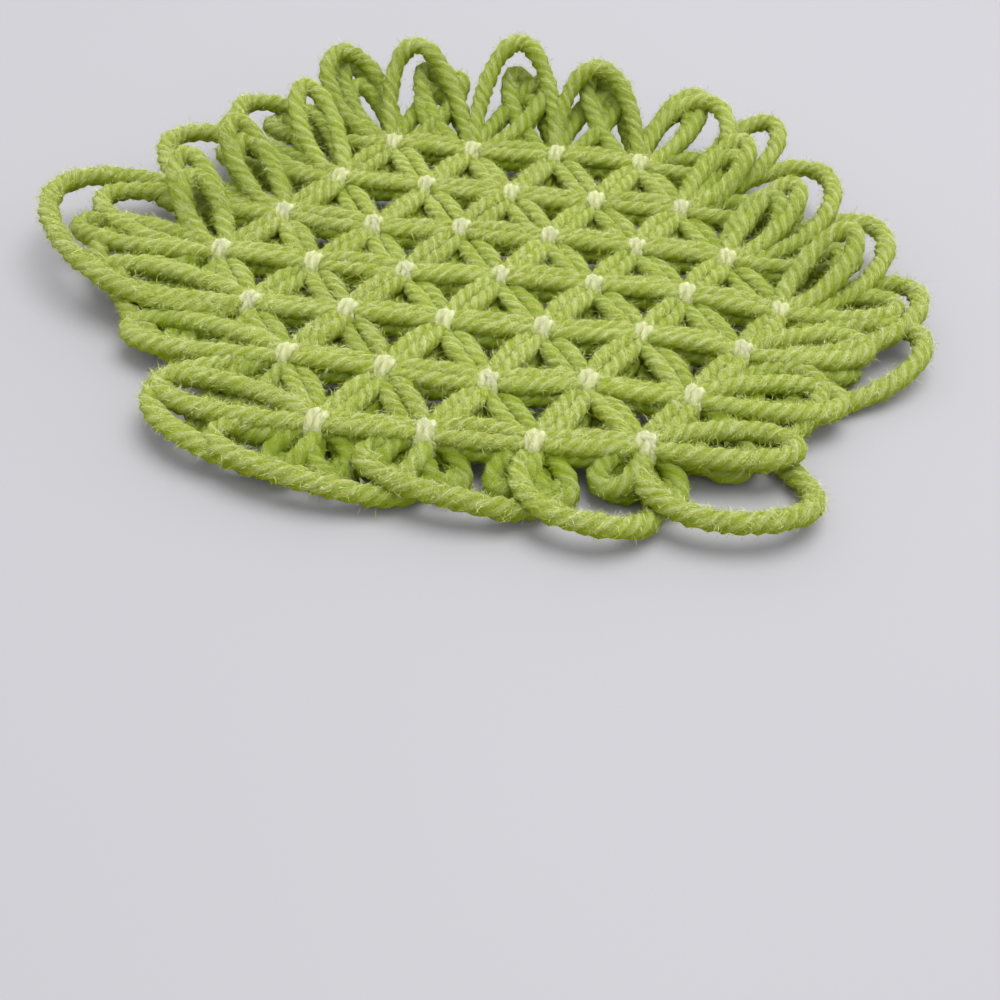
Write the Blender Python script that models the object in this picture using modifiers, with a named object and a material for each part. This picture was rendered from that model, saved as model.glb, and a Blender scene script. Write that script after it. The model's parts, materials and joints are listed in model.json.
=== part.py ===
"""Loomed hexagonal pot holder: lime wool wound in three directions, tied at 37 crossings with cream yarn.

Metres, +Z up. The mat lies flat: its underside is at z = 0, and x = 0, y = 0 is the middle of its
whole outline, with the loops of the edge.
"""
import bpy
import bmesh
import math
from collections import namedtuple
from mathutils import Vector

# Driving dimensions
PITCH = 0.017               # from one crossing to the next
ROW_KNOTS = (4, 5, 6, 7, 6, 5, 4)   # crossings in each row, back row first
MIDDLE_RIGHT = 0.0032       # the left loops reach further, so the middle crossing lies this far right
MIDDLE_BACK = -0.0024       # the back loops reach further, so it lies this far forward too
LOOP_RADIUS = 0.00165       # one yarn where it stands loose in the edge loops
PINCH_RADIUS = 0.0016       # the four yarns of a bundle where a tie draws them in
FLAT_DEPTH = 0.0004         # how far the underside is pressed flat
TIE_RADIUS = 0.00080        # one turn of the cream yarn
TIE_TURNS = 2
TIE_TURN_SPACING = 0.0013   # from one turn to the next beside it
TIE_HALF_LENGTH = 0.0018    # from the crown of a turn to its foot, in plan
TIE_DROP = 0.0009           # from the crown of a turn down to its foot
TIE_LIFT = 0.0013           # from the top yarn's own pinch up to the turns: fused yarn is plump at a crossing
TIE_HEADING = 60.0          # degrees in plan, the way the turns cross the row
TIE_SWING = 9.0             # degrees by which that differs from tie to tie
SWING_PER_ROW = 2.1         # radians of the swing's wave from one row to the next
SWING_PER_COLUMN = 1.7
TIE_POINTS = 5

# Heights of the middle of a bundle, at a crossing and halfway to the next one, and its radius halfway
Layer = namedtuple("Layer", "heading knot_height mid_height mid_radius")
LAYERS = (
    Layer(0, 0.0054, 0.0061, 0.0024),
    Layer(60, 0.0043, 0.0049, 0.0025),
    Layer(120, 0.0032, 0.0024, 0.0028),
)

# Crossings that have been drawn out of their place, in millimetres
Pulled = namedtuple("Pulled", "row column right back")
PULLED = (
    Pulled(0, 0, 0.0, 1.3),
    Pulled(0, 1, -0.6, 1.1),
    Pulled(0, 2, 0.0, 2.6),
    Pulled(0, 3, 0.5, 2.2),
    Pulled(2, 1, 0.4, -1.5),
    Pulled(2, 4, -0.5, -0.8),
    Pulled(2, 5, -0.3, -1.7),
    Pulled(3, 1, 0.0, -1.1),
    Pulled(3, 2, -0.2, -1.5),
    Pulled(3, 6, -0.3, -2.6),
    Pulled(4, 4, 0.4, 1.3),
    Pulled(4, 5, 0.5, -1.0),
    Pulled(5, 0, 0.4, 1.1),
    Pulled(5, 2, 0.2, -1.1),
    Pulled(5, 3, -0.4, 1.3),
    Pulled(6, 3, 0.4, 1.9),
)

# The loop that each end of a line makes past the last crossing, by the way the line runs.
# Reach is in pitches, angles are in degrees, and lift is in millimetres.
Petal = namedtuple("Petal", "heading reach spread lean lift")
PETALS = (
    Petal(0, 1.55, 18, 14, -1.5),
    Petal(60, 1.36, 18, -4, 8.5),
    Petal(120, 1.36, 18, 4, 10.5),
    Petal(180, 1.70, 17, -14, -1.0),
    Petal(240, 1.00, 26, -6, -3.0),
    Petal(300, 1.00, 30, 2, -3.0),
)

# The wide loops that carry the yarn from one edge crossing to another, clockwise from the back left.
# A crossing is its place round the edge, heading and pull are the loop's handle there.
Sweep = namedtuple("Sweep", "start end start_heading end_heading start_pull end_pull lift")
SWEEPS = (
    Sweep(0, 0, 168, 98, 1.95, 1.95, 13.0),
    Sweep(0, 1, 112, 105, 1.40, 1.50, 15.0),
    Sweep(1, 2, 95, 92, 1.45, 1.45, 17.0),
    Sweep(2, 3, 100, 92, 1.20, 1.30, 14.0),
    Sweep(3, 4, 83, 52, 1.75, 2.40, 9.0),
    Sweep(4, 4, 76, 38, 3.00, 3.00, 6.5),
    Sweep(4, 5, 50, 12, 3.40, 2.00, 4.5),
    Sweep(5, 6, 45, 12, 3.60, 1.75, 2.5),
    Sweep(6, 7, 42, 2, 3.25, 2.45, 0.5),
    Sweep(7, 8, 38, 6, 3.40, 3.30, -1.0),
    Sweep(8, 9, 46, 1, 2.60, 2.30, -1.5),
    Sweep(9, 8, -108, -27, 1.65, 3.30, -1.5),
    Sweep(10, 9, -124, -66, 1.25, 1.70, -1.5),
    Sweep(11, 10, -167, -57, 2.00, 1.75, -1.5),
    Sweep(12, 11, -178, -68, 2.80, 1.70, -1.5),
    Sweep(13, 12, -169, -90, 2.90, 1.25, -1.5),
    Sweep(14, 13, 145, -153, 3.40, 1.75, -1.0),
    Sweep(15, 14, 142, -163, 2.45, 2.35, 0.0),
    Sweep(16, 14, 160, -151, 4.55, 2.40, 5.0),
    Sweep(16, 15, 166, 179, 2.95, 1.85, 2.0),
    Sweep(17, 16, 144, 180, 3.25, 2.30, 3.0),
    Sweep(0, 17, 151, -178, 3.05, 1.80, 5.0),
)
EDGE_KNOTS = (
    (0, 0), (0, 1), (0, 2), (0, 3), (1, 4), (2, 5), (3, 6), (4, 5), (5, 4),
    (6, 3), (6, 2), (6, 1), (6, 0), (5, 0), (4, 0), (3, 0), (2, 0), (1, 0),
)
ROOT_HEIGHT = 0.0046        # where a loop leaves its crossing
ROOT_SPREAD = 0.0017        # half of the space between a loop's two ends
FRONT_REACH = 0.66          # how far the front row's loops reach, as a share of the others of their way
HANDLE_SHARE = 0.75         # how far out a loop's crown is, as a share of its handles
LIFT_POWER = 1.3            # how late a loop rises from its roots
SWEEP_POINTS = 13
PETAL_POINTS = 11
STEPS_PER_PITCH = 4
TUBE_RESOLUTION = 2         # eight-sided tubes
TIE_RESOLUTION = 1          # six-sided turns
FUSE_GRAIN = 0.0008937      # grain at which the strands are fused where they touch
THIN_RATIO = 0.084          # share of the fused faces that is kept
WELD = 0.00001              # a tube's caps are welded to it within this
TABLE_PITCHES = 14          # size of the block that presses the underside flat

LIME = (0.42, 0.53, 0.10, 1.0)
CREAM = (0.80, 0.82, 0.50, 1.0)
MILLIMETRE = 0.001


def clear_scene():
    for item in list(bpy.data.objects):
        bpy.data.objects.remove(item, do_unlink=True)


def new_collection(name):
    collection = bpy.data.collections.new(name)
    bpy.context.scene.collection.children.link(collection)
    return collection


def wool(name, colour):
    material = bpy.data.materials.new(name)
    material.use_nodes = True
    shader = material.node_tree.nodes["Principled BSDF"]
    shader.inputs["Base Color"].default_value = colour
    shader.inputs["Roughness"].default_value = 0.95
    shader.inputs["Metallic"].default_value = 0.0
    return material


def heading_vector(degrees):
    angle = math.radians(degrees)
    return Vector((math.cos(angle), math.sin(angle), 0.0))


def knot_place(row, column):
    """Plan place of a crossing."""
    across = column - (ROW_KNOTS[row] - 1) / 2
    back = (len(ROW_KNOTS) // 2 - row) * math.sqrt(3) / 2
    place = Vector((across * PITCH + MIDDLE_RIGHT, back * PITCH + MIDDLE_BACK, 0.0))
    for pulled in PULLED:
        if (pulled.row, pulled.column) == (row, column):
            place += Vector((pulled.right, pulled.back, 0.0)) * MILLIMETRE
    return place


def neighbour(row, column, heading):
    """The next crossing along a line, or None past the edge."""
    if heading in (0, 180):
        found = (row, column + (1 if heading == 0 else -1))
    else:
        step = -1 if heading in (60, 120) else 1
        next_row = row + step
        if not 0 <= next_row < len(ROW_KNOTS):
            return None
        shift = (ROW_KNOTS[next_row] - ROW_KNOTS[row]) / 2
        side = 0.5 if heading in (60, 300) else -0.5
        found = (next_row, int(round(column + side + shift)))
    if 0 <= found[1] < ROW_KNOTS[found[0]]:
        return found
    return None


def knots():
    for row, count in enumerate(ROW_KNOTS):
        for column in range(count):
            yield row, column


def lines(heading):
    """Every line of crossings that runs along one heading."""
    for row, column in knots():
        if neighbour(row, column, (heading + 180) % 360) is None:
            line = [(row, column)]
            while neighbour(*line[-1], heading):
                line.append(neighbour(*line[-1], heading))
            yield line


def evaluated_mesh(item):
    """The object's mesh with its modifiers applied."""
    bpy.context.view_layer.update()
    return bpy.data.meshes.new_from_object(item.evaluated_get(bpy.context.evaluated_depsgraph_get()))


def tube(name, points, radii, collection, resolution=TUBE_RESOLUTION):
    """A closed tube through the points, made a mesh with its caps welded."""
    curve = bpy.data.curves.new(name, "CURVE")
    curve.dimensions = "3D"
    curve.bevel_depth = 1.0
    curve.bevel_resolution = resolution
    curve.use_fill_caps = True
    spline = curve.splines.new("POLY")
    spline.points.add(len(points) - 1)
    for point, place, radius in zip(spline.points, points, radii):
        point.co = (*place, 1.0)
        point.radius = radius
    guide = bpy.data.objects.new(name, curve)
    collection.objects.link(guide)
    mesh = evaluated_mesh(guide)
    bpy.data.objects.remove(guide)
    body = bmesh.new()
    body.from_mesh(mesh)
    bmesh.ops.remove_doubles(body, verts=body.verts, dist=WELD)
    bmesh.ops.recalc_face_normals(body, faces=body.faces)
    body.to_mesh(mesh)
    body.free()
    mesh.shade_smooth()
    solid = bpy.data.objects.new(name, mesh)
    collection.objects.link(solid)
    solid.hide_render = True
    solid.display_type = "WIRE"
    return solid


def bundle_tube(name, line, layer, collection):
    """One line of the mat: four yarns drawn in at each crossing and full between them."""
    points = []
    radii = []
    for start, end in zip(line, line[1:]):
        for step in range(STEPS_PER_PITCH):
            share = step / STEPS_PER_PITCH
            fullness = math.sin(math.pi * share)
            place = knot_place(*start).lerp(knot_place(*end), share)
            place.z = layer.knot_height + (layer.mid_height - layer.knot_height) * fullness
            points.append(place)
            radii.append(PINCH_RADIUS + (layer.mid_radius - PINCH_RADIUS) * fullness)
    last = knot_place(*line[-1])
    last.z = layer.knot_height
    points.append(last)
    radii.append(PINCH_RADIUS)
    run = heading_vector(layer.heading) * ROOT_SPREAD
    points[0] -= run
    points[-1] += run
    return tube(name, points, radii, collection)


def loop_path(start, end, start_heading, end_heading, start_pull, end_pull, lift, count):
    """A loop in plan from one root to the other, lifted or let down to the table on its way."""
    start_handle = start + heading_vector(start_heading) * start_pull * PITCH
    end_handle = end + heading_vector(end_heading) * end_pull * PITCH
    points = []
    for index in range(count):
        t = index / (count - 1)
        place = (
            start * (1 - t) ** 3
            + start_handle * 3 * (1 - t) ** 2 * t
            + end_handle * 3 * (1 - t) * t ** 2
            + end * t ** 3
        )
        height = ROOT_HEIGHT + lift * MILLIMETRE * math.sin(math.pi * t) ** LIFT_POWER
        place.z = max(height, LOOP_RADIUS - FLAT_DEPTH)
        points.append(place)
    return points


def petal_tube(name, knot, petal, collection):
    heading = petal.heading + petal.lean
    side = heading_vector(petal.heading + 90) * ROOT_SPREAD
    place = knot_place(*knot)
    front = knot[0] == len(ROW_KNOTS) - 1 and petal.heading > 180
    pull = petal.reach * (FRONT_REACH if front else 1.0) / HANDLE_SHARE
    points = loop_path(
        place + side, place - side, heading + petal.spread, heading - petal.spread, pull, pull,
        petal.lift, PETAL_POINTS,
    )
    return tube(name, points, [LOOP_RADIUS] * len(points), collection)


def sweep_tube(name, sweep, collection):
    start = knot_place(*EDGE_KNOTS[sweep.start])
    end = knot_place(*EDGE_KNOTS[sweep.end])
    if sweep.start == sweep.end:
        middle = (sweep.start_heading + sweep.end_heading) / 2
        side = heading_vector(middle + 90) * ROOT_SPREAD
        turn = 1 if sweep.start_heading > sweep.end_heading else -1
        start = start + side * turn
        end = end - side * turn
    points = loop_path(
        start, end, sweep.start_heading, sweep.end_heading, sweep.start_pull, sweep.end_pull,
        sweep.lift, SWEEP_POINTS,
    )
    return tube(name, points, [LOOP_RADIUS] * len(points), collection)


def table_block(collection):
    """The table's space, which presses the underside flat."""
    size = PITCH * TABLE_PITCHES
    bpy.ops.mesh.primitive_cube_add(size=size, location=(0.0, 0.0, -size / 2))
    block = bpy.context.active_object
    block.name = "table_block"
    for owner in block.users_collection:
        owner.objects.unlink(block)
    collection.objects.link(block)
    block.hide_render = True
    block.display_type = "WIRE"
    return block


def boolean(target, name, operation, cutter=None, collection=None):
    modifier = target.modifiers.new(name, "BOOLEAN")
    modifier.operation = operation
    modifier.solver = "EXACT"
    if collection:
        modifier.operand_type = "COLLECTION"
        modifier.collection = collection
    else:
        modifier.object = cutter


def wound_yarn(parts, strands, cutters, material):
    """All of the lime yarn as one fused body."""
    made = []
    for layer in LAYERS:
        for number, line in enumerate(lines(layer.heading)):
            made.append(bundle_tube(f"line_{layer.heading}_{number}", line, layer, strands))
    for knot in knots():
        for petal in PETALS:
            if neighbour(*knot, petal.heading) is None:
                made.append(petal_tube(f"petal_{knot[0]}_{knot[1]}_{petal.heading}", knot, petal, strands))
    for number, sweep in enumerate(SWEEPS):
        made.append(sweep_tube(f"sweep_{number}", sweep, strands))
    body = made[0]
    strands.objects.unlink(body)
    parts.objects.link(body)
    body.name = "wound_yarn"
    body.hide_render = False
    body.display_type = "TEXTURED"
    body.data.materials.append(material)
    boolean(body, "join_strands", "UNION", collection=strands)
    fuse = body.modifiers.new("fuse", "REMESH")
    fuse.mode = "VOXEL"
    fuse.voxel_size = FUSE_GRAIN
    thin = body.modifiers.new("thin_out", "DECIMATE")
    thin.ratio = THIN_RATIO
    boolean(body, "press_flat", "DIFFERENCE", cutter=table_block(cutters))
    return body


def tie_mesh(cutters, material):
    """Turns of cream yarn side by side, arched over a crossing whose top is at z = 0."""
    turns = []
    for number in range(TIE_TURNS):
        points = []
        for index in range(TIE_POINTS):
            along = 2 * index / (TIE_POINTS - 1) - 1
            beside = TIE_TURN_SPACING * (number - (TIE_TURNS - 1) / 2)
            height = TIE_RADIUS + TIE_LIFT - TIE_DROP * along ** 2
            points.append(Vector((TIE_HALF_LENGTH * along, beside, height)))
        turns.append(tube(f"tie_turn_{number}", points, [TIE_RADIUS] * TIE_POINTS, cutters, TIE_RESOLUTION))
    boolean(turns[0], "join_turns", "UNION", cutter=turns[1])
    mesh = evaluated_mesh(turns[0])
    mesh.name = "tie"
    mesh.materials.clear()
    mesh.materials.append(material)
    return mesh


def ties(parts, mesh):
    """One tie over each crossing."""
    row_layer = LAYERS[0]
    for row, column in knots():
        tie = bpy.data.objects.new(f"tie_{row}_{column}", mesh)
        tie.location = knot_place(row, column)
        tie.location.z = row_layer.knot_height + PINCH_RADIUS
        swing = TIE_SWING * math.sin(SWING_PER_ROW * row + SWING_PER_COLUMN * column)
        tie.rotation_euler.z = math.radians(TIE_HEADING + swing)
        parts.objects.link(tie)


def main():
    clear_scene()
    parts = new_collection("loomed_pot_holder")
    strands = new_collection("strands")
    cutters = new_collection("cutters")
    lime = wool("lime_wool", LIME)
    cream = wool("cream_wool", CREAM)
    wound_yarn(parts, strands, cutters, lime)
    ties(parts, tie_mesh(cutters, cream))


main()
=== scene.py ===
"""Dresses the loomed wool pot holder: plied yarn in layers and edge loops, ties, loose fibres.

Metres, +Z up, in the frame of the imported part. Run as a script, not installed.
"""
import bpy
import bmesh
import json
import math
import numpy as np
from collections import namedtuple
from bpy.props import FloatProperty, FloatVectorProperty, IntProperty, PointerProperty
from mathutils import Euler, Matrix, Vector
from mathutils.kdtree import KDTree

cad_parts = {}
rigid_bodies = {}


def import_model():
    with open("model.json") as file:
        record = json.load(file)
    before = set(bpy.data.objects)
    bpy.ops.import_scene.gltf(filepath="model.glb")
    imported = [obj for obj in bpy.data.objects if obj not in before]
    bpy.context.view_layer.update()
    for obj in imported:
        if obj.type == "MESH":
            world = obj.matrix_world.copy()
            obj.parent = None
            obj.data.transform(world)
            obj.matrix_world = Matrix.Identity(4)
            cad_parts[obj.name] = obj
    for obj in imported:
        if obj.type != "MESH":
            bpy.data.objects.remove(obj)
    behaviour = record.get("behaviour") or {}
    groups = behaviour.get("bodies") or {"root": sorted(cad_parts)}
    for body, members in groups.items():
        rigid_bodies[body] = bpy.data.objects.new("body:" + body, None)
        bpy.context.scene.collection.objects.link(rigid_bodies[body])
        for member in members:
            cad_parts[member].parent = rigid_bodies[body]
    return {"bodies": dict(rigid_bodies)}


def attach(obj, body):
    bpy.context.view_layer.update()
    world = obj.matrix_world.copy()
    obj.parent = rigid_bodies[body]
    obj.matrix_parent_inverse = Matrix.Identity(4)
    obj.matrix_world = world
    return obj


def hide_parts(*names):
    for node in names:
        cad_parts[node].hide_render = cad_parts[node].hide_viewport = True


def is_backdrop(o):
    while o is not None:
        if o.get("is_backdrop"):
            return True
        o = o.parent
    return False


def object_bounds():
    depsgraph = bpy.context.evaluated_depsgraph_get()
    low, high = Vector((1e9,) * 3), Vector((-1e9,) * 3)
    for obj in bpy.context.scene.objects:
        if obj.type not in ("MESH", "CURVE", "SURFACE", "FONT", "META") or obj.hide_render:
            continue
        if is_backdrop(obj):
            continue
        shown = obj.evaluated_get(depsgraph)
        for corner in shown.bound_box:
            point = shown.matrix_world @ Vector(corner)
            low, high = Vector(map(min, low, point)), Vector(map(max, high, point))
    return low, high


bl_info = {
    "name": "Loomed Wool Pot Holder",
    "version": (1, 0, 0),
    "blender": (4, 5, 0),
    "location": "3D View > Sidebar > Pot Holder",
    "description": "Winds and ties a hexagonal pot holder of lime wool",
    "category": "Add Mesh",
}

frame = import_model()
FRAME_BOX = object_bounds()
BODY = next(iter(frame["bodies"]))
MILLIMETRE = 0.001

# The loom's layout, as in the part
PITCH = 0.017
ROW_KNOTS = (4, 5, 6, 7, 6, 5, 4)   # crossings in each row, back row first
MIDDLE_RIGHT = 0.0032       # the left loops reach further, so the middle crossing lies right
MIDDLE_BACK = -0.0024       # the back loops reach further, so it lies forward too

# Heights of a bundle: its middle at a crossing, then its upper and its lower two yarns halfway to
# the next one, and how far the upper and the lower two lie from its middle line there
Layer = namedtuple(
    "Layer", "name heading knot_height upper_height lower_height upper_side lower_side")
LAYERS = (
    Layer("rows", 0, 0.0055, 0.0063, 0.0042, 0.00118, 0.00155),
    Layer("rising", 60, 0.0049, 0.0057, 0.0028, 0.00125, 0.00210),
    Layer("falling", 120, 0.0042, 0.0053, 0.0015, 0.00150, 0.00235),
)

# Crossings that have been drawn out of their place, in millimetres
Pulled = namedtuple("Pulled", "row column right back")
PULLED = (
    Pulled(0, 0, 0.0, 1.3),
    Pulled(0, 1, -0.6, 1.1),
    Pulled(0, 2, 0.0, 2.6),
    Pulled(0, 3, 0.5, 2.2),
    Pulled(2, 1, 0.4, -1.5),
    Pulled(2, 4, -0.5, -0.8),
    Pulled(2, 5, -0.3, -1.7),
    Pulled(3, 1, 0.0, -1.1),
    Pulled(3, 2, -0.2, -1.5),
    Pulled(3, 6, -0.3, -2.6),
    Pulled(4, 4, 0.4, 1.3),
    Pulled(4, 5, 0.5, -1.0),
    Pulled(5, 0, 0.4, 1.1),
    Pulled(5, 2, 0.2, -1.1),
    Pulled(5, 3, -0.4, 1.3),
    Pulled(6, 3, 0.4, 1.9),
)

# The two loops, one over the other, that each end of a line makes past the last crossing.
# Reach is in pitches, angles are in degrees, and lift is in millimetres.
Petal = namedtuple("Petal", "heading reach spread lean lift")
PETALS = (
    Petal(0, 1.55, 18, 14, -1.5),
    Petal(60, 1.36, 18, -4, 8.5),
    Petal(120, 1.36, 18, 4, 10.5),
    Petal(180, 1.70, 17, -14, -1.0),
    Petal(240, 1.00, 26, -6, -3.0),
    Petal(300, 1.00, 30, 2, -3.0),
)

# The wide loops that carry the yarn between edge crossings, clockwise from the back left.
# A crossing is its place round the edge. Heading and pull are the loop's handle there, in degrees
# and pitches, and lift is in millimetres.
Sweep = namedtuple("Sweep", "start end start_heading end_heading start_pull end_pull lift")
SWEEPS = (
    Sweep(0, 0, 168, 98, 1.95, 1.95, 13.0),
    Sweep(0, 1, 112, 105, 1.40, 1.50, 15.0),
    Sweep(1, 2, 95, 92, 1.45, 1.45, 17.0),
    Sweep(2, 3, 100, 92, 1.20, 1.30, 14.0),
    Sweep(3, 4, 83, 52, 1.75, 2.40, 9.0),
    Sweep(4, 4, 76, 38, 3.00, 3.00, 6.5),
    Sweep(4, 5, 50, 12, 3.40, 2.00, 4.5),
    Sweep(5, 6, 45, 12, 3.60, 1.75, 2.5),
    Sweep(6, 7, 42, 2, 3.25, 2.45, 0.5),
    Sweep(7, 8, 38, 6, 3.40, 3.30, -1.0),
    Sweep(8, 9, 46, 1, 2.60, 2.30, -1.5),
    Sweep(9, 8, -108, -27, 1.65, 3.30, -1.5),
    Sweep(10, 9, -124, -66, 1.25, 1.70, -1.5),
    Sweep(11, 10, -167, -57, 2.00, 1.75, -1.5),
    Sweep(12, 11, -178, -68, 2.80, 1.70, -1.5),
    Sweep(13, 12, -169, -90, 2.90, 1.25, -1.5),
    Sweep(14, 13, 145, -153, 3.40, 1.75, -1.0),
    Sweep(15, 14, 142, -163, 2.45, 2.35, 0.0),
    Sweep(16, 14, 160, -151, 4.55, 2.40, 5.0),
    Sweep(16, 15, 166, 179, 2.95, 1.85, 2.0),
    Sweep(17, 16, 144, 180, 3.25, 2.30, 3.0),
    Sweep(0, 17, 151, -178, 3.05, 1.80, 5.0),
)
EDGE_KNOTS = (
    (0, 0), (0, 1), (0, 2), (0, 3), (1, 4), (2, 5), (3, 6), (4, 5), (5, 4),
    (6, 3), (6, 2), (6, 1), (6, 0), (5, 0), (4, 0), (3, 0), (2, 0), (1, 0),
)
HANDLE_SHARE = 0.75         # how far out a loop's crown is, as a share of its handles
LIFT_POWER = 1.3            # how late a loop rises from its roots
SWEEP_ROOT = 0.0050         # height at which a wide loop leaves its crossing
SWEEP_TUCK = 0.0020         # height at which a front loop goes under its neighbour
SWEEP_FALL = (0.50, 0.85)   # shares of its way between which it comes down

# One yarn in its bundle of four
PINCH_SIDE = 0.00070        # middle of a yarn from the middle of its bundle, under a tie
PINCH_RISE = 0.00055
LEAF_POWER = 0.70           # how soon a bundle fills out past a tie
LOWER_THICKNESS = 0.95      # the lower yarns' thickness, as a share of the upper ones'
ROLL_SWING = 0.00045        # how far a bundle lies rolled over
SLACK_SWING = 0.18          # share by which one yarn lies nearer or further
BOW_SWING = 0.00050         # how far a bundle bows to a side
GROW_LENGTH = 0.0065        # along which a loop thickens, out from under the tie

# The two loops at a line's end
FRONT_REACH = 0.66          # the front row's reach, as a share of the other loops of their way
LOWER_REACH = 0.82          # the lower loop's reach, as a share of the upper one's
LOWER_DROP = 1.6            # millimetres by which it lies lower
LOWER_SPREAD = 4.0          # degrees by which its handles spread more
REACH_SWING = 0.06          # shares and degrees by which one loop differs from the next
SPREAD_SWING = 0.15
HEADING_SWING = 5.0
LIFT_SWING = 0.9            # in millimetres

# The yarn's mesh
STEPS_PER_PITCH = 16
LOOP_STEPS = 40
RING_SPACING = 0.00100      # from one ring of a yarn's mesh to the next
ROUNDINGS = 2               # times that a route's kinks are rounded
POINTS_PER_PLY = 2
LAYER_GROOVE = 0.10         # depth between two plies, as a share of the yarn's radius
LOOP_GROOVE = 0.18
SHOULDER = 1.05             # the crest of a ply, as a share of it
THICK_SWING = 0.07          # share by which the yarn is thicker or thinner
THICK_LENGTH = 0.009        # and the length of such a place
TWIST_SWING = 0.22          # radians by which the twist runs ahead or behind

# A tie
TIE_TWIST_LENGTH = 0.0065
TIE_STEPS = 22
TIE_RING_SPACING = 0.9      # as a share of the wound yarn's
TURN_SPACING = 1.3          # from one turn to the next, in the tying yarn's radii
TIE_SWING = 10.0            # degrees by which its heading differs from the others'
TURN_SWING = 8.0            # and that of its second turn from its first
THIRD_TURN_SHARE = 0.6      # share of the ties that have a third turn, across the others
THIRD_TURN_HEADING = 45.0
THIRD_TURN_SWING = 14.0
CROWN_SWING = 0.0002

# The loose fibres: those that lie on the yarn, those that stand up in curls, and a few long ones.
# Share is of all of them, bends are in one fibre, scale and thickness are shares of the usual ones,
# and cling is how surely the fibre bends back to its yarn.
Nap = namedtuple("Nap", "share bends scale thickness rises curls cling")
NAPS = (
    Nap(0.45, 1, 0.70, 0.85, (0.08, 0.45), (0.25, 0.9), 1.2),
    Nap(0.54, 1, 0.60, 0.30, (0.20, 1.00), (0.7, 1.4), 0.7),
    Nap(0.01, 5, 1.60, 0.30, (0.20, 0.80), (0.8, 1.7), 0.3),
)
TIE_NAP = Nap(1.0, 1, 0.60, 0.75, (0.05, 0.50), (0.3, 1.0), 1.0)
FIBRE_RUN = (0.2, 1.0)      # how surely a fibre starts along its ply
FIBRE_STRAY = 0.6           # and how far it strays from that
FIBRE_LEAN = 0.15           # how far it leaves the plane of its curl
FIBRE_SPREAD = 0.35         # how unevenly long the fibres are
FIBRE_SHORTEST = 0.4        # as shares of their usual length
FIBRE_LONGEST = 2.0
NAP_LEVEL = 0.55            # the nap on a yarn's side, as a share of the thickest,
NAP_RISE = 0.65             # how much thicker it stands on its top,
NAP_COVERED = 0.8           # and the share of it that a covered yarn lacks
TIE_NAP_LEVEL = 0.6
OPEN_REACH = 1.296          # in bundled radii: a spot whose nearest other yarn is further lies open

# A yarn counts as covered by the others' rings within this reach and at least this much higher
COVER_REACH = 0.0075
COVER_RISE = 0.0009
COVER_FULL = 18.0           # and as many of them, right on it, cover it fully
SIDE_SHADE = 0.9            # how much painted shade, the deep colour, a fibre has on its yarn's side,
SIDE_FACING = 0.4           # from where the yarn faces less up than this

SOFTBOX_SIZE = 0.7
SOFTBOX_PLACE = (0.14, 0.14, 0.80)
TABLE_REACH = 2.0
SEED = 7


def linear(hex_colour):
    """An sRGB hex colour as linear red, green and blue."""
    channels = [int(hex_colour[place:place + 2], 16) / 255 for place in (0, 2, 4)]
    return tuple(c / 12.92 if c <= 0.04045 else ((c + 0.055) / 1.055) ** 2.4 for c in channels)


class YarnSettings(bpy.types.PropertyGroup):
    """Sizes of the wound yarn"""

    loose_radius: FloatProperty(
        name="Loose radius", description="Half of the yarn's thickness in the edge loops",
        default=0.00184, min=0.0005, unit="LENGTH",
    )
    bundled_radius: FloatProperty(
        name="Bundled radius", description="Half of its thickness where four lie together",
        default=0.00165, min=0.0005, unit="LENGTH",
    )
    pinched_radius: FloatProperty(
        name="Pinched radius", description="Half of its thickness under a tie",
        default=0.00100, min=0.0003, unit="LENGTH",
    )
    plies: IntProperty(
        name="Plies", description="Plies twisted together in the yarn", default=4, min=2, max=6,
    )
    twist_length: FloatProperty(
        name="Twist length", description="Length of yarn in which the plies make one full turn",
        default=0.0098, min=0.002, unit="LENGTH",
    )


class TieSettings(bpy.types.PropertyGroup):
    """Sizes of the cream ties"""

    radius: FloatProperty(
        name="Radius", description="Half of the thickness of the tying yarn",
        default=0.00102, min=0.0002, unit="LENGTH",
    )
    reach: FloatProperty(
        name="Reach", description="How far a turn reaches to each side of its crossing",
        default=0.0022, min=0.0005, unit="LENGTH",
    )
    heading: FloatProperty(
        name="Heading", description="The way the turns run over the row",
        default=math.radians(62), subtype="ANGLE",
    )
    crown: FloatProperty(
        name="Crown height", description="Height of the middle of a turn over its crossing",
        default=0.0075, min=0.0, unit="LENGTH",
    )


class FuzzSettings(bpy.types.PropertyGroup):
    """The loose fibres of the wool"""

    lime_density: FloatProperty(
        name="Lime nap", description="Loose fibres for each open point of the wound yarn's mesh",
        default=16.5, min=0.0,
    )
    tie_fibres: IntProperty(
        name="Cream fibres", description="Loose fibres on each tie", default=360, min=0,
    )
    length: FloatProperty(
        name="Length", description="Usual length of a loose fibre",
        default=0.0018, min=0.0002, unit="LENGTH",
    )
    thickness: FloatProperty(
        name="Thickness", description="Half of a fibre's thickness",
        default=0.000045, min=0.000005, unit="LENGTH",
    )


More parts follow.
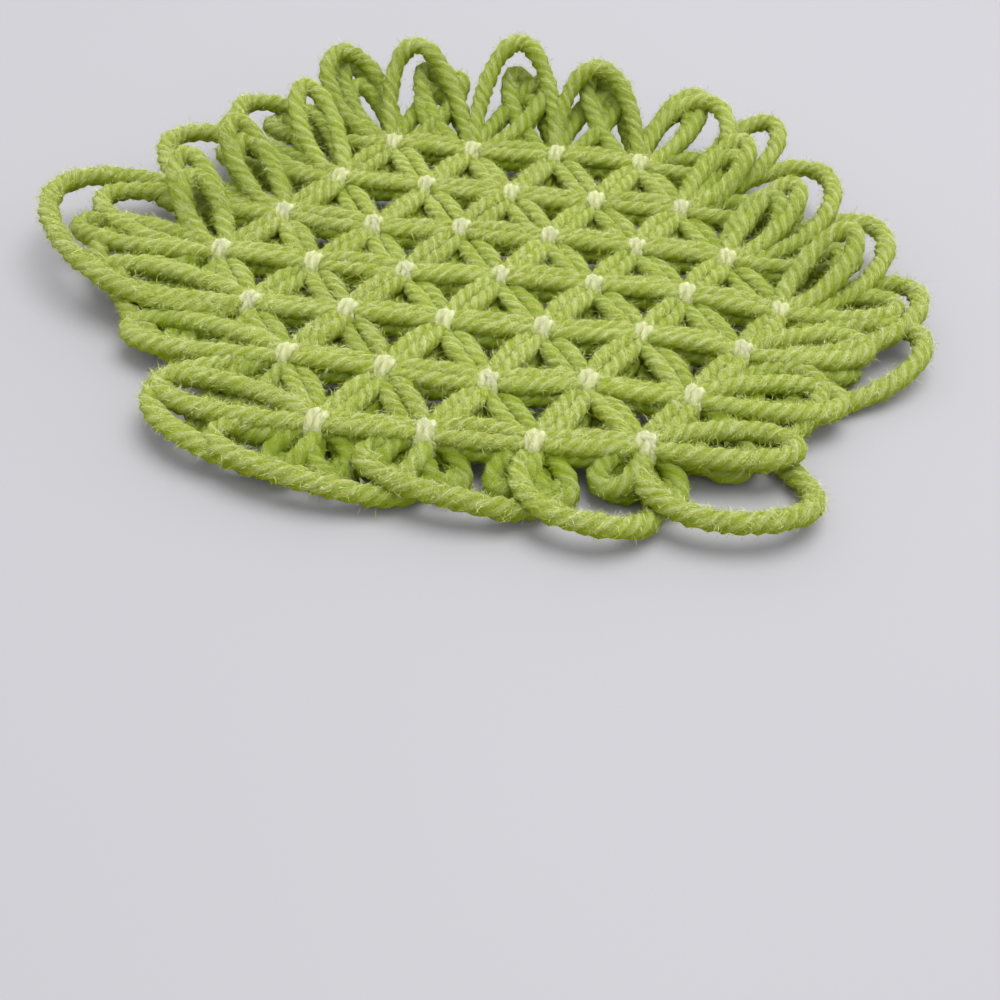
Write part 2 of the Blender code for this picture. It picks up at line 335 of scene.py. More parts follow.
class StageSettings(bpy.types.PropertyGroup):
    """The plain table, the light and the camera"""

    floor_colour: FloatVectorProperty(
        name="Table colour", description="Colour of the plain table",
        default=linear("A6A5A8"), min=0.0, max=1.0, subtype="COLOR",
    )
    sky_strength: FloatProperty(
        name="Room light", description="Strength of the light from all round",
        default=1.00, min=0.0,
    )
    softbox_power: FloatProperty(
        name="Softbox power", description="Power of the large lamp overhead", default=6.1, min=0.0,
    )
    camera_place: FloatVectorProperty(
        name="Camera place", description="Where the camera stands",
        default=(0.0083, -0.1870, 0.1306), subtype="XYZ", unit="LENGTH",
    )
    camera_turn: FloatVectorProperty(
        name="Camera turn", description="How the camera is turned",
        default=(math.radians(45.44), math.radians(-3.70), math.radians(4.10)), subtype="EULER",
    )
    camera_lens: FloatProperty(
        name="Lens", description="Focal length in millimetres on a sensor 36 mm wide",
        default=43.2, min=1.0,
    )


class PotHolderSettings(bpy.types.PropertyGroup):
    """Everything that can be changed on the pot holder"""

    yarn: PointerProperty(type=YarnSettings)
    tie: PointerProperty(type=TieSettings)
    fuzz: PointerProperty(type=FuzzSettings)
    stage: PointerProperty(type=StageSettings)


# --- Layout of the mat ---

def heading_vector(degrees):
    """A flat vector of length 1 that way."""
    angle = math.radians(degrees)
    return np.array((math.cos(angle), math.sin(angle), 0.0))


def knot_place(row, column):
    """Plan place of a crossing."""
    across = column - (ROW_KNOTS[row] - 1) / 2
    back = (len(ROW_KNOTS) // 2 - row) * math.sqrt(3) / 2
    place = np.array((across * PITCH + MIDDLE_RIGHT, back * PITCH + MIDDLE_BACK, 0.0))
    for pulled in PULLED:
        if (pulled.row, pulled.column) == (row, column):
            place += np.array((pulled.right, pulled.back, 0.0)) * MILLIMETRE
    return place


def neighbour(row, column, heading):
    """The next crossing along a line, or None past the edge."""
    if heading in (0, 180):
        found = (row, column + (1 if heading == 0 else -1))
    else:
        step = -1 if heading in (60, 120) else 1
        next_row = row + step
        if not 0 <= next_row < len(ROW_KNOTS):
            return None
        shift = (ROW_KNOTS[next_row] - ROW_KNOTS[row]) / 2
        side = 0.5 if heading in (60, 300) else -0.5
        found = (next_row, int(round(column + side + shift)))
    if 0 <= found[1] < ROW_KNOTS[found[0]]:
        return found
    return None


def knots():
    """Every crossing's row and column."""
    for row, count in enumerate(ROW_KNOTS):
        for column in range(count):
            yield row, column


def lines(heading):
    """Every line of crossings that runs along one heading."""
    for row, column in knots():
        if neighbour(row, column, (heading + 180) % 360) is None:
            line = [(row, column)]
            while neighbour(*line[-1], heading):
                line.append(neighbour(*line[-1], heading))
            yield line


# --- Routes of the yarn ---

def strand_route(line, layer, side, level, spans, yarn):
    """One yarn of a bundle, from the first crossing of its line to the last: places and radii.

    Side is 1 left of the line's heading and -1 right of it. Level is 1 for an upper yarn and -1 for
    a lower one.
    """
    left = heading_vector(layer.heading + 90)
    up = np.array((0.0, 0.0, 1.0))
    mid_height = layer.upper_height if level > 0 else layer.lower_height
    mid_side = layer.upper_side if level > 0 else layer.lower_side
    full_radius = yarn.bundled_radius * (1.0 if level > 0 else LOWER_THICKNESS)
    shares = np.arange(STEPS_PER_PITCH) / STEPS_PER_PITCH
    places = []
    radii = []
    for number, (start, end) in enumerate(zip(line, line[1:])):
        roll, bow, rise, slack = spans[number]
        full_side = side * mid_side * (1 + SLACK_SWING * slack[(side > 0) + 2 * (level > 0)])
        full_height = mid_height + (roll * side * level + rise if level > 0 else 0.0)
        knot_height = layer.knot_height + level * PINCH_RISE
        for share in shares:
            wave = math.sin(math.pi * share)
            fullness = wave ** LEAF_POWER
            middle = knot_place(*start) * (1 - share) + knot_place(*end) * share
            height = knot_height + (full_height - knot_height) * wave
            aside = side * PINCH_SIDE * (1 - fullness) + full_side * fullness + bow * wave
            places.append(middle + left * aside + up * height)
            radii.append(yarn.pinched_radius + (full_radius - yarn.pinched_radius) * fullness)
    last = knot_place(*line[-1])
    places.append(last + left * side * PINCH_SIDE + up * (layer.knot_height + level * PINCH_RISE))
    radii.append(yarn.pinched_radius)
    return np.array(places), np.array(radii)


def loop_route(start, end, headings, pulls, lift, yarn):
    """A loop from one root to the other, lifted or let down on its way: places and radii."""
    t = np.linspace(0.0, 1.0, LOOP_STEPS)
    start_handle = start + heading_vector(headings[0]) * pulls[0] * PITCH
    end_handle = end + heading_vector(headings[1]) * pulls[1] * PITCH
    weights = np.stack([(1 - t) ** 3, 3 * (1 - t) ** 2 * t, 3 * (1 - t) * t ** 2, t ** 3], 1)
    places = weights @ np.stack([start, start_handle, end_handle, end])
    places[:, 2] = start[2] * (1 - t) + end[2] * t
    places[:, 2] += lift * MILLIMETRE * np.sin(np.pi * t) ** LIFT_POWER
    steps = np.linalg.norm(np.diff(places, axis=0), axis=1)
    along = np.concatenate([[0.0], np.cumsum(steps)])
    grown = np.clip(np.minimum(along, along[-1] - along) / GROW_LENGTH, 0.0, 1.0)
    grown = grown * (2 - grown)
    radii = yarn.pinched_radius + (yarn.loose_radius - yarn.pinched_radius) * grown
    return places, radii


def petal_route(knot, start, end, petal, level, swing, yarn):
    """One of the two loops at a line's end, from its left root to its right root."""
    share = 1.0 if level > 0 else LOWER_REACH
    if knot[0] == len(ROW_KNOTS) - 1 and petal.heading > 180:
        share *= FRONT_REACH
    reach = petal.reach * share * (1 + REACH_SWING * swing[0])
    spread = petal.spread * (1 + SPREAD_SWING * swing[1]) + (LOWER_SPREAD if level < 0 else 0)
    heading = petal.heading + petal.lean + HEADING_SWING * swing[2]
    lift = petal.lift + LIFT_SWING * swing[3] - (LOWER_DROP if level < 0 else 0)
    pull = reach / HANDLE_SHARE
    return loop_route(start, end, (heading + spread, heading - spread), (pull, pull), lift, yarn)


def line_ring(line, layer, level, spans, swings, yarn):
    """The upper or the lower two yarns of a line, joined at both ends by a loop into one round."""
    petals = {petal.heading: petal for petal in PETALS}
    left, left_radii = strand_route(line, layer, 1, level, spans, yarn)
    right, right_radii = strand_route(line, layer, -1, level, spans, yarn)
    far, far_radii = petal_route(
        line[-1], left[-1], right[-1], petals[layer.heading], level, swings[0], yarn)
    near, near_radii = petal_route(
        line[0], right[0], left[0], petals[layer.heading + 180], level, swings[1], yarn)
    places = np.concatenate([left[:-1], far[:-1], right[:0:-1], near[:-1]])
    radii = np.concatenate([left_radii[:-1], far_radii[:-1], right_radii[:0:-1], near_radii[:-1]])
    return places, radii


def sweep_route(sweep, yarn):
    """One wide loop between two edge crossings."""
    start = knot_place(*EDGE_KNOTS[sweep.start])
    end = knot_place(*EDGE_KNOTS[sweep.end])
    if sweep.start == sweep.end:
        middle = (sweep.start_heading + sweep.end_heading) / 2
        side = heading_vector(middle + 90) * PINCH_SIDE
        start = start + side
        end = end - side
    start[2] = end[2] = SWEEP_ROOT
    places, radii = loop_route(
        start, end, (sweep.start_heading, sweep.end_heading), (sweep.start_pull, sweep.end_pull),
        sweep.lift, yarn,
    )
    if sweep.lift < 0:
        # A front loop lies over the last one's end, then comes down to the table under the next
        first, last = SWEEP_FALL
        fall = np.clip((np.linspace(0.0, 1.0, LOOP_STEPS) - first) / (last - first), 0.0, 1.0)
        fall = fall * fall * (3 - 2 * fall)
        places[:, 2] = SWEEP_ROOT * (1 - fall) + SWEEP_TUCK * fall
    return places, radii


def even_route(places, radii, spacing, closed):
    """The route with its points evenly spaced, its kinks rounded and its yarn on the table."""
    if closed:
        places = np.concatenate([places, places[:1]])
        radii = np.concatenate([radii, radii[:1]])
    steps = np.linalg.norm(np.diff(places, axis=0), axis=1)
    along = np.concatenate([[0.0], np.cumsum(steps)])
    count = max(8, int(round(along[-1] / spacing)))
    wanted = np.linspace(0.0, along[-1], count, endpoint=not closed)
    places = np.stack([np.interp(wanted, along, places[:, axis]) for axis in range(3)], 1)
    radii = np.interp(wanted, along, radii)
    for _ in range(ROUNDINGS):
        rounded = (np.roll(places, 1, 0) + 2 * places + np.roll(places, -1, 0)) / 4
        if not closed:
            rounded[0], rounded[-1] = places[0], places[-1]
        places = rounded
    places[:, 2] = np.maximum(places[:, 2], radii * SHOULDER)
    return places, radii


def wander(count, cycles, generator):
    """A smooth swing to both sides, in about that many cycles, which ends where it starts."""
    t = np.arange(count) / count
    swing = np.zeros(count)
    for _ in range(3):
        own_cycles = max(1, round(cycles * generator.uniform(0.6, 1.7)))
        swing += np.sin(2 * math.pi * (own_cycles * t + generator.uniform()))
    return swing / 2


# --- Meshes ---

def ply_profile(name, plies, points_per_ply, groove):
    """The yarn's cross-section of radius 1 as a closed curve, with a groove between two plies."""
    curve = bpy.data.curves.new(name, "CURVE")
    curve.dimensions = "2D"
    spline = curve.splines.new("POLY")
    count = plies * points_per_ply
    spline.points.add(count - 1)
    for number, point in enumerate(spline.points):
        angle = 2 * math.pi * number / count
        radius = 1 - groove if number % points_per_ply == 0 else SHOULDER
        point.co = (radius * math.cos(angle), radius * math.sin(angle), 0.0, 1.0)
    spline.use_cyclic_u = True
    item = bpy.data.objects.new(name, curve)
    bpy.context.scene.collection.objects.link(item)
    return item


def twisted_yarn(name, routes, closed, plies, points_per_ply, groove, twist_length, generator):
    """A mesh of plied yarns along the routes, with each yarn's own coordinates as attributes."""
    profile = ply_profile(name + "_profile", plies, points_per_ply, groove)
    curve = bpy.data.curves.new(name + "_guide", "CURVE")
    curve.dimensions = "3D"
    curve.twist_mode = "MINIMUM"
    curve.bevel_mode = "OBJECT"
    curve.bevel_object = profile
    for places, radii in routes:
        spline = curve.splines.new("POLY")
        count = len(places)
        spline.points.add(count - 1)
        length = np.linalg.norm(np.diff(places, axis=0), axis=1).sum()
        turns = max(1, round(length / twist_length))
        tilts = -2 * math.pi * turns * np.arange(count) / count
        tilts += TWIST_SWING * wander(count, length / THICK_LENGTH, generator)
        thickness = radii * (1 + THICK_SWING * wander(count, length / THICK_LENGTH, generator))
        places[:, 2] = np.maximum(places[:, 2], thickness * SHOULDER)
        spline.points.foreach_set("co", np.concatenate([places, np.ones((count, 1))], 1).ravel())
        spline.points.foreach_set("radius", thickness)
        spline.points.foreach_set("tilt", tilts)
        spline.use_cyclic_u = closed
    guide = bpy.data.objects.new(name + "_guide", curve)
    bpy.context.scene.collection.objects.link(guide)
    bpy.context.view_layer.update()
    depsgraph = bpy.context.evaluated_depsgraph_get()
    mesh = bpy.data.meshes.new_from_object(guide.evaluated_get(depsgraph))
    mesh.name = name
    for item in (guide, profile):
        data = item.data
        bpy.data.objects.remove(item)
        bpy.data.curves.remove(data)
    sides = plies * points_per_ply
    if len(mesh.vertices) != sides * sum(len(places) for places, _ in routes):
        raise RuntimeError(f"{name}: the mesh doesn't have one ring for each point of its routes")
    yarn_attributes(mesh, routes, sides, points_per_ply, generator)
    body = bmesh.new()
    body.from_mesh(mesh)
    open_edges = [edge for edge in body.edges if edge.is_boundary]
    if open_edges:
        bmesh.ops.holes_fill(body, edges=open_edges, sides=sides)
    bmesh.ops.recalc_face_normals(body, faces=body.faces)
    body.to_mesh(mesh)
    body.free()
    mesh.shade_smooth()
    item = bpy.data.objects.new(name, mesh)
    bpy.context.scene.collection.objects.link(item)
    return item


def yarn_attributes(mesh, routes, sides, points_per_ply, generator):
    """Gives each point its place on its own yarn in millimetres, its ply's way, tone and groove."""
    angles = 2 * math.pi * np.arange(sides) / sides
    circle = np.stack([np.cos(angles), np.sin(angles)], 1)
    groove_ring = (np.arange(sides) % points_per_ply == 0).astype(float)
    spots = np.empty(len(mesh.vertices) * 3)
    mesh.vertices.foreach_get("co", spots)
    spots = spots.reshape(-1, sides, 3)
    own, tones, grooves, ways = [], [], [], []
    first = 0
    for places, radii in routes:
        count = len(places)
        along = np.concatenate([[0.0], np.cumsum(np.linalg.norm(np.diff(places, axis=0), axis=1))])
        along = (along + generator.uniform(0, 1)) / MILLIMETRE
        block = np.empty((count, sides, 3))
        block[:, :, 0] = along[:, None]
        block[:, :, 1:] = circle[None] * radii[:, None, None] / MILLIMETRE
        own.append(block)
        tones.append(np.full((count, sides), generator.uniform(0, 1)))
        grooves.append(np.broadcast_to(groove_ring, (count, sides)))
        rings = spots[first:first + count]
        way = np.roll(rings, -1, 0) - rings
        way[-1] = way[-2]
        ways.append(way / np.maximum(np.linalg.norm(way, axis=2, keepdims=True), 1e-9))
        first += count
    layers = (("own_place", "FLOAT_VECTOR", own), ("ply_way", "FLOAT_VECTOR", ways))
    for label, kind, blocks in layers:
        values = np.concatenate(blocks).astype(np.float32).ravel()
        mesh.attributes.new(label, kind, "POINT").data.foreach_set("vector", values)
    for label, blocks in (("tone", tones), ("groove", grooves)):
        values = np.concatenate(blocks).astype(np.float32).ravel()
        mesh.attributes.new(label, "FLOAT", "POINT").data.foreach_set("value", values)


def fibre_template(bends):
    """A thin flat fibre, pointed at both ends: its points, with their shares of its half thickness
    in y and of its length in z, and its faces."""
    body = bmesh.new()
    sides = [body.verts.new((0.0, side, 1 / (bends + 1))) for side in (-1.0, 1.0)]
    rims = [[body.edges.new(sides)]]
    for number in range(1, bends):
        grown = bmesh.ops.extrude_edge_only(body, edges=rims[-1])["geom"]
        moved = [part for part in grown if isinstance(part, bmesh.types.BMVert)]
        bmesh.ops.translate(body, verts=moved, vec=(0.0, 0.0, 1 / (bends + 1)))
        rims.append([body.edges.get(moved)])
    for rim, tip in ((rims[0], 0.0), (rims[-1], 1.0)):
        grown = bmesh.ops.extrude_edge_only(body, edges=rim)["geom"]
        moved = [part for part in grown if isinstance(part, bmesh.types.BMVert)]
        bmesh.ops.pointmerge(body, verts=moved, merge_co=(0.0, 0.0, tip))
    bmesh.ops.recalc_face_normals(body, faces=body.faces)
    bmesh.ops.triangulate(body, faces=body.faces)
    body.verts.index_update()
    points = np.array([vert.co for vert in body.verts])
    faces = np.array([[vert.index for vert in face.verts] for face in body.faces])
    body.free()
    return points, faces


def joined_copies(name, groups):
    """One mesh of many copies. Each group has its copies' points, the faces of one copy and the
    copies' cover."""
    points = np.concatenate([spots.reshape(-1, 3) for spots, _, _ in groups])
    faces = []
    first = 0
    for spots, one, _ in groups:
        starts = first + np.arange(len(spots)) * spots.shape[1]
        faces.append((starts[:, None, None] + one[None]).reshape(-1, 3))
        first += len(spots) * spots.shape[1]
    faces = np.concatenate(faces)
    mesh = bpy.data.meshes.new(name)
    mesh.vertices.add(len(points))
    mesh.vertices.foreach_set("co", points.astype(np.float32).ravel())
    mesh.loops.add(faces.size)
    mesh.loops.foreach_set("vertex_index", faces.astype(np.int32).ravel())
    mesh.polygons.add(len(faces))
    mesh.polygons.foreach_set("loop_start", np.arange(0, faces.size, 3, dtype=np.int32))
    mesh.update(calc_edges=True)
    set_cover(mesh, np.concatenate(
        [np.repeat(covers, spots.shape[1]) for spots, _, covers in groups]))
    mesh.shade_smooth()
    item = bpy.data.objects.new(name, mesh)
    bpy.context.scene.collection.objects.link(item)
    return item


def unit(vectors):
    """The vectors with their length made 1."""
    return vectors / np.maximum(np.linalg.norm(vectors, axis=-1, keepdims=True), 1e-9)


def skin_of(item, sides):
    """A yarn piece's points, the ways out and along the plies there, and its rings' middles."""
    mesh = item.data
    count = len(mesh.vertices)
    spots, outs, ways = (np.empty(count * 3) for _ in range(3))
    mesh.vertices.foreach_get("co", spots)
    mesh.vertex_normals.foreach_get("vector", outs)
    mesh.attributes["ply_way"].data.foreach_get("vector", ways)
    spots = spots.reshape(-1, 3)
    middles = spots.reshape(-1, sides, 3).mean(1)
    return spots, outs.reshape(-1, 3), ways.reshape(-1, 3), middles


def fibre_copies(spots, outs, ways, covers, template, nap, fuzz, generator):
    """Bends a copy of the template out of each spot, mostly along its ply and back to the yarn."""
    points, faces = template
    count = len(spots)
    length = fuzz.length * nap.scale
    thickness = fuzz.thickness * nap.thickness
    sign = generator.choice((-1.0, 1.0), count)[:, None]
    rise = generator.uniform(*nap.rises, count)[:, None]
    run = generator.uniform(*FIBRE_RUN, count)[:, None]
    strays = unit(generator.normal(size=(count, 3)))
    strays -= outs * (strays * outs).sum(1, keepdims=True)
    start = unit(outs * rise + ways * sign * run + strays * FIBRE_STRAY)
    curl = unit(generator.normal(size=(count, 3)) - outs * nap.cling)
    curl = unit(curl - start * (curl * start).sum(1, keepdims=True))
    beside = np.cross(start, curl)
    lengths = length * np.exp(generator.normal(0.0, FIBRE_SPREAD, count))
    lengths = np.clip(lengths, FIBRE_SHORTEST * length, FIBRE_LONGEST * length)[:, None, None]
    bend = generator.uniform(*nap.curls, count)[:, None, None]
    share = points[:, 2][None, :, None]
    centre = (spots - outs * thickness)[:, None]
    # An arc whose heading turns by twice the bend, and which leans out of its plane a little
    turn = 2 * bend * share
    centre = centre + start[:, None] * lengths * np.sin(turn) / (2 * bend)
    centre = centre + curl[:, None] * lengths * (1 - np.cos(turn)) / (2 * bend)
    lean = lengths * FIBRE_LEAN * bend * share * np.sin(3 * share + turn)
    centre = centre + beside[:, None] * lean
    copies = centre + beside[:, None] * points[:, 1][None, :, None] * thickness
    copies[:, :, 2] = np.maximum(copies[:, :, 2], thickness * (1 + points[:, 1][None]))
    return copies, faces, covers


def cover_of(middles, tree):
    """How far other yarns lie over each place of a yarn: 0 in the open, 1 deep in the mat."""
    covers = []
    for middle in middles:
        over = [
            COVER_REACH - distance for place, _, distance in tree.find_range(middle, COVER_REACH)
            if place[2] > middle[2] + COVER_RISE
        ]
        covers.append(min(1.0, sum(over) / (COVER_FULL * COVER_REACH)))
    return np.array(covers)


def set_cover(mesh, values):
    """Gives each point of a mesh its cover, which the wools read as painted shade."""
    cover_shade = mesh.attributes.new("cover_shade", "FLOAT", "POINT")
    cover_shade.data.foreach_set("value", values.astype(np.float32))


def scatter(skin, weights, count, sides, generator):
    """Random places on a yarn piece, likelier where the weight is greater, with the ways out and
    along the plies there."""
    spots, outs, ways, middles = skin
    picked = generator.choice(len(spots), count, p=weights / weights.sum())
    radii = np.linalg.norm(spots[picked] - np.repeat(middles, sides, 0)[picked], axis=1)[:, None]
    beside = np.cross(outs[picked], ways[picked])
    turn = generator.uniform(-0.5, 0.5, (count, 1)) * 2 * math.pi / sides
    roots = spots[picked] + ways[picked] * generator.uniform(-0.5, 0.5, (count, 1)) * RING_SPACING
    roots += (beside * np.sin(turn) - outs[picked] * (1 - np.cos(turn))) * radii
    return picked, roots, outs[picked] * np.cos(turn) + beside * np.sin(turn), ways[picked]


def uncovered(spots, outs, radius, tree):
    """Which spots of the skin no other yarn lies on."""
    reached = spots + outs * radius
    return np.array([tree.find(place)[2] > radius * OPEN_REACH for place in reached])


# --- Materials ---

def add_node(tree, kind, fields=None, values=None, links=None):
    """Adds a node, sets its fields and its sockets' values, and links outputs to its sockets."""
    node = tree.nodes.new(kind)
    for field, value in (fields or {}).items():
        setattr(node, field, value)
    for socket, value in (values or {}).items():
        node.inputs[socket].default_value = value
    for socket, output in (links or {}).items():
        tree.links.new(output, node.inputs[socket])
    return node


def new_material(name):
    """A material without nodes, and its node tree."""
    material = bpy.data.materials.new(name)
    material.use_nodes = True
    tree = material.node_tree
    tree.nodes.clear()
    return material, tree


def rgba(hex_colour):
    """An sRGB hex colour as a socket takes it."""
    return (*linear(hex_colour), 1.0)


# lit is the pale colour mixed in by the felt's mottle and most where a yarn faces up, as painted
# light; deep is the colour of painted shade in grooves, under covering yarns and on fibres at a
# yarn's side
Wool = namedtuple("Wool", "name lit body deep sheen")
LIME = Wool("lime_plied_wool", "D6DE9C", "A8B620", "8AA200", "F6FCC6")
CREAM = Wool("cream_plied_wool", "F4F7C8", "ECF0B2", "D4DA8A", "FFFFE6")


def plied_wool(wool):
    """Soft-spun wool, plied and slightly felted: matte and streaked along its plies, paler where a
    yarn faces up, which is painted light, and saturated between its plies and under other yarns,
    which is painted shade, with a soft rim where the nap catches the light."""
    material, tree = new_material(wool.name)
    own = add_node(tree, "ShaderNodeAttribute", {"attribute_name": "own_place"})
    tone = add_node(tree, "ShaderNodeAttribute", {"attribute_name": "tone"})
    groove = add_node(tree, "ShaderNodeAttribute", {"attribute_name": "groove"})
    # Locks of fibres 3 mm long and 0.5 mm wide, then single fibres, drawn 0.17 mm wide so that they
    # show, where real ones are 0.03 mm
    lock_place = add_node(
        tree, "ShaderNodeVectorMath", {"operation": "MULTIPLY"}, {1: (0.33, 2.0, 2.0)},
        {0: own.outputs["Vector"]})
    locks = add_node(
        tree, "ShaderNodeTexNoise", None, {"Scale": 1.0, "Detail": 2.0, "Roughness": 0.55},
        {"Vector": lock_place.outputs["Vector"]})
    fibre_place = add_node(
        tree, "ShaderNodeVectorMath", {"operation": "MULTIPLY"}, {1: (0.9, 6.0, 6.0)},
        {0: own.outputs["Vector"]})
    fibres = add_node(
        tree, "ShaderNodeTexNoise", None,
        {"Scale": 1.0, "Detail": 3.0, "Roughness": 0.7, "Distortion": 0.6},
        {"Vector": fibre_place.outputs["Vector"]})
    streaks = add_node(
        tree, "ShaderNodeMath", {"operation": "ADD"}, None,
        {0: locks.outputs["Fac"], 1: fibres.outputs["Fac"]})
    # The felted skin of short fibres that lie every way, with a grain of 0.35 mm
    felt_place = add_node(tree, "ShaderNodeTexCoord")
    felt = add_node(
        tree, "ShaderNodeTexNoise", None,
        {"Scale": 2900.0, "Detail": 3.0, "Roughness": 0.75, "Distortion": 1.2},
        {"Vector": felt_place.outputs["Object"]})
    mottle = add_node(
        tree, "ShaderNodeMath", {"operation": "MULTIPLY_ADD"}, {1: 1.4},
        {0: felt.outputs["Fac"], 2: streaks.outputs[0]})
    paleness = add_node(
        tree, "ShaderNodeMapRange", None,
        {"From Min": 1.42, "From Max": 1.98, "To Min": 0.0, "To Max": 1.0},
        {"Value": mottle.outputs[0]})
    # Painted light: the pale crest colour is mixed in most where the yarn faces up, as light falls
    # on its top, and its sides show the full colour
    facing = add_node(tree, "ShaderNodeNewGeometry")
    upward = add_node(
        tree, "ShaderNodeSeparateXYZ", None, None, {"Vector": facing.outputs["Normal"]})
    painted_top_light = add_node(
        tree, "ShaderNodeMapRange", None,
        {"From Min": -0.2, "From Max": 0.75, "To Min": 0.05, "To Max": 1.25},
        {"Value": upward.outputs["Z"]})
    whitened = add_node(
        tree, "ShaderNodeMath", {"operation": "MULTIPLY", "use_clamp": True}, None,
        {0: paleness.outputs["Result"], 1: painted_top_light.outputs["Result"]})
    crest = add_node(
        tree, "ShaderNodeMix", {"data_type": "RGBA"}, {"A": rgba(wool.body), "B": rgba(wool.lit)},
        {"Factor": whitened.outputs[0]})
    # Painted shade: the grooves between plies are mixed toward the deep colour
    painted_groove_shade = add_node(
        tree, "ShaderNodeMath", {"operation": "MULTIPLY"}, {1: 0.75}, {0: groove.outputs["Fac"]})
    shaded = add_node(
        tree, "ShaderNodeMix", {"data_type": "RGBA"}, {"B": rgba(wool.deep)},
        {"Factor": painted_groove_shade.outputs[0], "A": crest.outputs["Result"]})
    brightness = add_node(
        tree, "ShaderNodeMapRange", None, {"To Min": 0.93, "To Max": 1.06},
        {"Value": tone.outputs["Fac"]})
    # Painted shade: where other yarns lie over a yarn, it is mixed toward the deep colour, as it
    # lies in their shade
    cover_shade = add_node(tree, "ShaderNodeAttribute", {"attribute_name": "cover_shade"})
    painted_cover_shade = add_node(
        tree, "ShaderNodeMath", {"operation": "MULTIPLY"}, {1: 0.65}, {0: cover_shade.outputs["Fac"]})
    full = add_node(
        tree, "ShaderNodeMix", {"data_type": "RGBA"}, {"B": rgba(wool.deep)},
        {"Factor": painted_cover_shade.outputs[0], "A": shaded.outputs["Result"]})
    toned = add_node(
        tree, "ShaderNodeHueSaturation", None, None,
        {"Value": brightness.outputs["Result"], "Color": full.outputs["Result"]})
    bump = add_node(
        tree, "ShaderNodeBump", None, {"Strength": 1.0, "Distance": 0.00035},
        {"Height": mottle.outputs[0]})
    surface = add_node(
        tree, "ShaderNodeBsdfPrincipled", None,
        {
            "Roughness": 0.95, "Specular IOR Level": 0.03, "Sheen Weight": 0.05,
            "Sheen Roughness": 0.45, "Sheen Tint": rgba(wool.sheen), "Subsurface Weight": 0.25,
            "Subsurface Scale": 0.0009, "Subsurface Radius": (1.0, 1.0, 0.35),
        },
        {"Base Color": toned.outputs["Color"], "Normal": bump.outputs["Normal"]})
    add_node(tree, "ShaderNodeOutputMaterial", None, None, {"Surface": surface.outputs["BSDF"]})
    return material


def loose_wool(name, pale, full, deep):
    """Single wool fibres that stand off the yarn: pale, soft and a little uneven in colour."""
    material, tree = new_material(name)
    place = add_node(tree, "ShaderNodeTexCoord")
    # One fibre differs from the next, so the pattern's grain is about a fibre's length, 2 mm
    drift = add_node(
        tree, "ShaderNodeTexNoise", None, {"Scale": 500.0, "Detail": 1.0},
        {"Vector": place.outputs["Object"]})
    paleness = add_node(
        tree, "ShaderNodeMapRange", None, {"From Min": 0.35, "From Max": 0.65},
        {"Value": drift.outputs["Fac"]})
    single = add_node(
        tree, "ShaderNodeMix", {"data_type": "RGBA"}, {"A": rgba(full), "B": rgba(pale)},
        {"Factor": paleness.outputs["Result"]})
    # Painted shade: the fibres of covered yarns, and those on a yarn's side, are mixed toward the
    # deep colour
    cover_shade = add_node(tree, "ShaderNodeAttribute", {"attribute_name": "cover_shade"})
    colour = add_node(
        tree, "ShaderNodeMix", {"data_type": "RGBA"}, {"B": rgba(deep)},
        {"Factor": cover_shade.outputs["Fac"], "A": single.outputs["Result"]})
    surface = add_node(
        tree, "ShaderNodeBsdfPrincipled", None,
        {"Roughness": 0.85, "Specular IOR Level": 0.05},
        {"Base Color": colour.outputs["Result"]})
    add_node(tree, "ShaderNodeOutputMaterial", None, None, {"Surface": surface.outputs["BSDF"]})
    return material


def painted_board(colour):
    """Matt painted board: even and pale, with the faintest clouding."""
    material, tree = new_material("matt_painted_board")
    place = add_node(tree, "ShaderNodeTexCoord")
    clouds = add_node(
        tree, "ShaderNodeTexNoise", None, {"Scale": 9.0, "Detail": 2.0},
        {"Vector": place.outputs["Object"]})
    shade = add_node(
        tree, "ShaderNodeMapRange", None, {"To Min": 0.985, "To Max": 1.015},
        {"Value": clouds.outputs["Fac"]})
    tint = add_node(
        tree, "ShaderNodeHueSaturation", None, {"Color": (*colour, 1.0)},
        {"Value": shade.outputs["Result"]})
    surface = add_node(
        tree, "ShaderNodeBsdfPrincipled", None, {"Roughness": 0.6, "Specular IOR Level": 0.3},
        {"Base Color": tint.outputs["Color"]})
    add_node(tree, "ShaderNodeOutputMaterial", None, None, {"Surface": surface.outputs["BSDF"]})
    return material


def finish_piece(item, material, nodes):
    """Gives a piece its material and its body, and hides the CAD nodes that it stands for."""
    item.data.materials.append(material)
    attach(item, BODY)
    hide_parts(*nodes)
    return item


def wool_of(name, *arguments):
    """The material of that name, made once."""
    made = bpy.data.materials.get(name)
    return made or (plied_wool(*arguments) if len(arguments) == 1 else loose_wool(name, *arguments))


# --- Operators ---

class POTHOLDER_OT_wind_layers(bpy.types.Operator):
    """Winds the three layers of the mat, each with its loops at the ends of its lines"""

    bl_idname = "pot_holder.wind_layers"
    bl_label = "Wind Layers"

    def execute(self, context):
        yarn = context.scene.pot_holder.yarn
        for layer in LAYERS:
            generator = np.random.default_rng(SEED + layer.heading)
            routes = []
            for line in lines(layer.heading):
                spans = [
                    (
                        ROLL_SWING * generator.uniform(-1, 1), BOW_SWING * generator.uniform(-1, 1),
                        BOW_SWING * generator.uniform(-1, 1), generator.uniform(-1, 1, 4),
                    )
                    for _ in line[1:]
                ]
                for level in (1, -1):
                    swings = generator.uniform(-1, 1, (2, 4))
                    route = line_ring(line, layer, level, spans, swings, yarn)
                    routes.append(even_route(*route, RING_SPACING, True))
            item = twisted_yarn(
                "yarn_" + layer.name, routes, True, yarn.plies, POINTS_PER_PLY, LAYER_GROOVE,
                yarn.twist_length, generator)
            finish_piece(item, wool_of(LIME.name, LIME), ["wound_yarn"])
        return {"FINISHED"}


